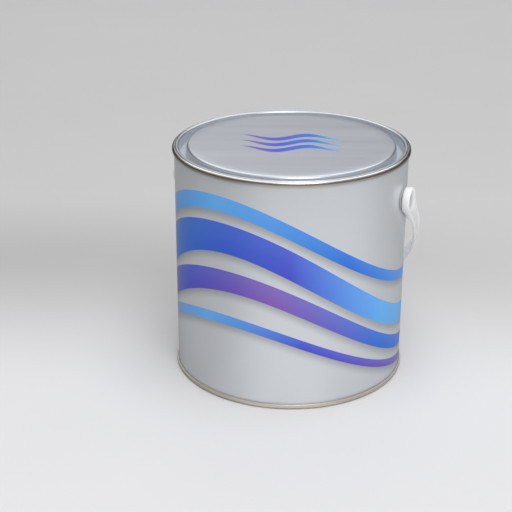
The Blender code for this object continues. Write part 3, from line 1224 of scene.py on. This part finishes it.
@dataclass
class PuttyFill:
    """The putty, with the swirl that the filling nozzle left in its surface."""

    seam: DoubleSeam
    sheets: PressedSheets
    fit: float = 0.0003
    climb: float = 0.0020
    climb_width: float = 0.0060
    swirl_pitch: float = 0.0130
    swirl_height: float = 0.0011
    swirl_power: float = 0.8
    peak: float = 0.0022
    peak_radius: float = 0.0150
    lump: float = 0.0005
    lumps_per_metre: float = 70.0
    steps: int = 224
    longest: float = 0.0011
    colour: Colour = (0.560, 0.555, 0.440)
    shade: Colour = (0.500, 0.490, 0.385)

    @property
    def wall(self) -> float:
        """The radius at which the putty meets the wall."""
        return self.seam.layer(3) - self.seam.sheet / 2 - self.fit

    def build(self) -> None:
        """Builds, dresses and seats the putty."""
        wall = self.wall
        floor = self.sheets.base_recess + self.seam.sheet / 2 + self.fit
        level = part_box("putty_fill")[1].z - self.peak - self.lump - self.swirl_height / 2
        outer = self.seam.layer(4) - self.sheets.bead_inset
        inner = outer - self.sheets.bead_width
        rise = self.sheets.bead_height
        section = [
            (0.0, floor, 0.0), (inner, floor, 0.0), (inner + rise, floor + rise, 0.0),
            (outer - rise, floor + rise, 0.0), (outer, floor, 0.0), (wall, floor, 0.0),
            (wall, level + self.climb, self.climb / 4), (wall - self.climb_width, level, self.climb),
            (0.0, level, 0.0),
        ]
        bm = lathe(section, Axis.Z, self.steps, self.longest)
        for vert in bm.verts:
            if vert.co.z > level - self.fit and vert.co.xy.length < wall - self.fit:
                vert.co.z += self.swirl(vert.co)
        finish = PasteFinish("putty", self.colour, self.shade, roughness=0.46)
        seat(shaded(to_object("putty_swirl", bm), math.pi), "putty_fill", finish)

    def swirl(self, place: Vector) -> float:
        """Shapes the surface.

        Args:
            place: A place on the level surface.

        Returns:
            How far the surface is raised there, which may be below 0.
        """
        radius, angle = place.xy.length, math.atan2(place.y, place.x)
        fade = min(1.0, (self.wall - radius) / self.climb_width)
        wave = math.sin(TURN * radius / self.swirl_pitch - angle)
        ridge = self.swirl_height / 2 * math.copysign(abs(wave) ** self.swirl_power, wave)
        tip = self.peak * math.exp(-(radius / self.peak_radius) ** 2)
        lumps = self.lump * noise.noise(Vector((place.x, place.y, 0.0)) * self.lumps_per_metre)
        return tip + fade * (ridge + lumps)


@dataclass(frozen=True)
class Heading:
    """A place, or a direction, as the camera sees it: to its right, away from it and up."""

    right: Value
    away: Value
    up: Value


@dataclass
class PhotoCamera:
    """The camera at the photograph's place, fitted to the can's outline."""

    azimuth: float = math.radians(19.8)
    elevation: float = math.radians(22.73)
    distance: float = 0.8920
    yaw: float = math.radians(1.59)
    pitch: float = math.radians(-0.21)
    roll: float = math.radians(-0.79)
    focal_pixels: float = 1217.3
    image_pixels: float = 512.0

    @property
    def front(self) -> Vector:
        """The level direction from the can towards the camera."""
        return Vector((math.sin(self.azimuth), -math.cos(self.azimuth), 0))

    @property
    def right(self) -> Vector:
        """The level direction to the camera's right."""
        return Vector((math.cos(self.azimuth), math.sin(self.azimuth), 0))

    def heading(self, x: Value, y: Value, z: Value) -> Heading:
        """The heading of a place, or a direction, of three parts."""
        right, away = (x * way.x + y * way.y for way in (self.right, -self.front))
        return Heading(right, away, z)

    def build(self, centre: Vector) -> None:
        """Sets the camera up.

        Args:
            centre: The can's middle.
        """
        data = bpy.data.cameras.new("photo_camera")
        data.lens = data.sensor_width * self.focal_pixels / self.image_pixels
        camera = bpy.data.objects.new("photo_camera", data)
        back = self.front * math.cos(self.elevation) + Vector((0, 0, math.sin(self.elevation)))
        turn = Matrix.Identity(4)
        for angle, axis in ((self.azimuth, "Z"), (math.pi / 2 - self.elevation, "X"), (self.yaw, "Y"),
                            (self.pitch, "X"), (-self.roll, "Z")):
            turn = turn @ Matrix.Rotation(angle, 4, axis)
        camera.matrix_world = Matrix.Translation(centre + back * self.distance) @ turn
        bpy.context.scene.collection.objects.link(camera)
        bpy.context.scene.camera = camera


@dataclass(frozen=True)
class SoftBox:
    """A large soft lamp, placed by its distance right of, in front of and above the can's foot."""

    name: str
    right: float
    front: float
    up: float
    width: float
    depth: float
    watts_per_area: float
    mirrored: bool = True

    def build(self, camera: PhotoCamera, aim: Vector) -> None:
        """Hangs the lamp.

        Args:
            camera: The camera that its place is measured from.
            aim: The point that it faces.
        """
        data = bpy.data.lights.new(self.name, "AREA")
        data.shape = "RECTANGLE"
        data.size, data.size_y = self.width, self.depth
        data.energy = self.watts_per_area * self.width * self.depth
        lamp = bpy.data.objects.new(self.name, data)
        lamp.visible_glossy = self.mirrored
        level_place = camera.right * self.right + camera.front * self.front
        lamp.location = level_place + Vector((0, 0, self.up))
        lamp.rotation_euler = (lamp.location - aim).to_track_quat("Z", "Y").to_euler()
        bpy.context.scene.collection.objects.link(lamp)
        log.info("lamp %s", self.name)


@dataclass
class StudioFloor:
    """The pale floor, shaded behind the can. To the metal it darkens far off and at the sides."""

    camera: PhotoCamera
    radius: float = 1.75
    drop: float = 0.0001
    segments: int = 128
    colour: Colour = (0.762, 0.761, 0.767)
    mottle: float = 0.1
    mottles_per_metre: float = 6.0
    shade: float = 0.62
    shade_share: float = 0.55
    shade_starts: Span = (-0.075, 0.18)
    far_share: float = 0.25
    far_starts: Span = (0.50, 1.50)
    left_dip: float = 0.38
    right_dip: float = 0.08
    dip_turns: Span = (-0.20, 0.30)
    dip_ends: Span = (0.18, 0.36)
    mirrored_dark: Colour = (0.04, 0.04, 0.04)
    table_ends: Span = (0.51, 0.81)
    flank_share: float = 0.55
    flank_opens: Span = (0.25, 0.55)
    flank_starts: Span = (-0.22, 0.02)
    left_lean: float = 0.4
    left_opens: Span = (0.50, 1.20)

    def shading(self, at: Heading) -> Value:
        """Finds how strongly the floor is shaded.

        Args:
            at: The place on the floor.

        Returns:
            The share of the shade.
        """
        dip = at.right.shader.blended(at.right.rises(*self.dip_turns), self.left_dip, self.right_dip)
        dip = dip * (1 - at.away.rises(*self.dip_ends))
        share = self.shade_share - self.far_share * at.away.rises(*self.far_starts) + dip
        return at.away.rises(*self.shade_starts) * share

    def hidden(self, at: Heading) -> Value:
        """Finds how dark the floor is to the metal.

        Args:
            at: The place on the floor.

        Returns:
            The share of the dark.
        """
        reach, aside = at.right.hypot(at.away), abs(at.right)
        flanks = (aside / reach).rises(*self.flank_opens) * at.away.rises(*self.flank_starts)
        left = ((aside - self.left_lean * at.right) / reach).rises(*self.left_opens)
        return reach.rises(*self.table_ends).at_least(self.flank_share * flanks.at_least(left))

    def build(self) -> None:
        """Lays the floor and dresses it."""
        bm = bmesh.new()
        bmesh.ops.create_circle(bm, cap_ends=True, segments=self.segments, radius=self.radius)
        bmesh.ops.translate(bm, vec=(0, 0, -self.drop), verts=bm.verts)
        piece = to_object("floor", bm)
        shader = SurfaceShader("floor")
        place = shader.place()
        at = self.camera.heading(*shader.split(place))
        shade = self.shading(at) + self.mottle * shader.noise(place, self.mottles_per_metre)
        colour = shader.mix(shade, self.colour, scaled(self.colour, self.shade))
        glossy = shader.value("ShaderNodeLightPath", {}, {}, "Is Glossy Ray")
        piece.data.materials.append(shader.set(
            Base_Color=shader.mix(glossy * self.hidden(at), colour, self.mirrored_dark),
            Roughness=0.6,
            Specular_IOR_Level=0.2,
        ))


@dataclass(frozen=True)
class Glow:
    """A patch of light in the room: its level, where it ends at both sides and how high up it starts."""

    level: float
    ends: Span = (2.0, 3.0)
    starts: Span = (-3.0, -2.0)
    tilt: float = 0.0

    def over(self, level: Term, at: Heading) -> Value:
        """The level of light in a direction, with the patch laid over it."""
        share = (1 - abs(at.right).rises(*self.ends)) * at.up.rises(*self.starts)
        return at.right.shader.blended(share, level, self.level * (1 - self.tilt * at.right))


@dataclass
class StudioRoom:
    """The light from all round. The metal mirrors a dark room that is pale above and behind the can."""

    camera: PhotoCamera
    backdrop: float = 0.560
    cool: float = 1.01
    dark: float = 0.04
    wall: Glow = Glow(0.46, ends=(0.17, 0.38), starts=(0.12, 0.28), tilt=1.5)
    shine: Glow = Glow(1.90, ends=(0.35, 0.80), starts=(0.44, 0.56))
    above_behind: Glow = Glow(1.20, starts=(0.72, 0.90))
    front: Glow = Glow(0.22, ends=(0.35, 0.75))
    above_front: Glow = Glow(1.20, starts=(0.72, 0.92))
    behind_starts: Span = (0.0, 0.45)
    side: float = 0.42
    side_opens: Span = (0.45, 0.80)
    side_starts: Span = (0.22, 0.40)
    ambient: float = 0.24
    flank: float = 1.00
    flank_opens: Span = (-0.2, 0.9)
    back: float = 1.15
    back_opens: Span = (0.25, 0.75)
    fill: float = 1.42
    fill_right: float = 0.22
    fill_width: Span = (0.20, 0.75)
    fill_ends: Span = (-0.45, 0.0)
    ceiling: float = 0.55
    ceiling_starts: Span = (0.50, 0.90)
    upper_starts: Span = (0.20, 0.50)

    def mirrored(self, at: Heading) -> Value:
        """Draws what the metal mirrors.

        Args:
            at: The direction.

        Returns:
            The level of light.
        """
        behind = before = self.dark
        for glow in (self.wall, self.shine, self.above_behind):
            behind = glow.over(behind, at)
        for glow in (self.front, self.above_front):
            before = glow.over(before, at)
        level = at.right.shader.blended(at.away.rises(*self.behind_starts), before, behind)
        side = abs(at.right).rises(*self.side_opens) * at.up.rises(*self.side_starts)
        return level.at_least(side * self.side)

    def soft(self, at: Heading) -> Value:
        """Draws the light that falls on everything.

        Args:
            at: The direction.

        Returns:
            The level of light.
        """
        blended = at.right.shader.blended
        facing = 1 - abs(at.right - self.fill_right).rises(*self.fill_width)
        sides = blended(at.right.rises(*self.flank_opens), self.ambient, self.flank)
        sides = blended(at.away.rises(*self.back_opens), sides, self.back)
        sides = blended(facing * (1 - at.away.rises(*self.fill_ends)), sides, self.fill)
        upper = blended(at.up.rises(*self.ceiling_starts), self.ambient, self.ceiling)
        return blended(at.up.rises(*self.upper_starts), sides, upper)

    def build(self) -> None:
        """Makes the room as the scene's world."""
        world = bpy.data.worlds.new("room")
        bpy.context.scene.world = world
        shader = Shader(world)
        shader.tree.nodes.clear()
        direction = shader.value("ShaderNodeTexCoord", {}, {}, "Generated")
        at = self.camera.heading(*shader.split(direction))
        rays = shader.node("ShaderNodeLightPath", {}, {})
        camera, glossy = (Value(shader, rays.outputs[name]) for name in ("Is Camera Ray", "Is Glossy Ray"))
        light = shader.blended(glossy, self.soft(at), self.mirrored(at))
        level = shader.blended(camera, light, self.backdrop)
        tint = shader.value("ShaderNodeCombineColor", {}, {0: level, 1: level, 2: level * self.cool})
        background = shader.value("ShaderNodeBackground", {}, {"Color": tint, "Strength": 1.0})
        shader.node("ShaderNodeOutputWorld", {}, {"Surface": background})


@dataclass
class Studio:
    """The floor, the room and the lamps."""

    camera: PhotoCamera
    lamps: tuple[SoftBox, ...] = (
        SoftBox("overhead", right=0.15, front=0.30, up=2.70, width=1.9, depth=1.5, watts_per_area=10.8,
                mirrored=False),
        SoftBox("front", right=0.50, front=1.90, up=3.00, width=1.6, depth=1.2, watts_per_area=18.0),
    )

    def build(self, centre: Vector) -> None:
        """Builds the studio round the can.

        Args:
            centre: The can's middle.
        """
        StudioFloor(self.camera).build()
        StudioRoom(self.camera).build()
        for lamp in self.lamps:
            lamp.build(self.camera, centre)
        bpy.context.scene.view_settings.view_transform = "Standard"


def main() -> None:
    """Builds the camera, the studio and every piece of the can."""
    logging.basicConfig(level=logging.INFO, format="%(name)s: %(message)s")
    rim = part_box("top_ring")[1]
    hinge = next(joint for joint in frame["joints"] if joint["name"] == "handle_swing")
    camera = PhotoCamera()
    centre = Vector((0, 0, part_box("lid")[1].z / 2))
    camera.build(centre)
    Studio(camera).build(centre)
    seam = DoubleSeam(rim.x)
    sheets = PressedSheets(seam, rim.z, math.atan2(camera.front.y, camera.front.x))
    sheets.build()
    SeamCompound(seam, rim.z).build()
    PuttyFill(seam, sheets).build()
    ears = Ears(seam, hinge["pos_m"][2])
    ears.build()
    CarryHandle(seam, ears).build()


if __name__ == "__main__":
    main()
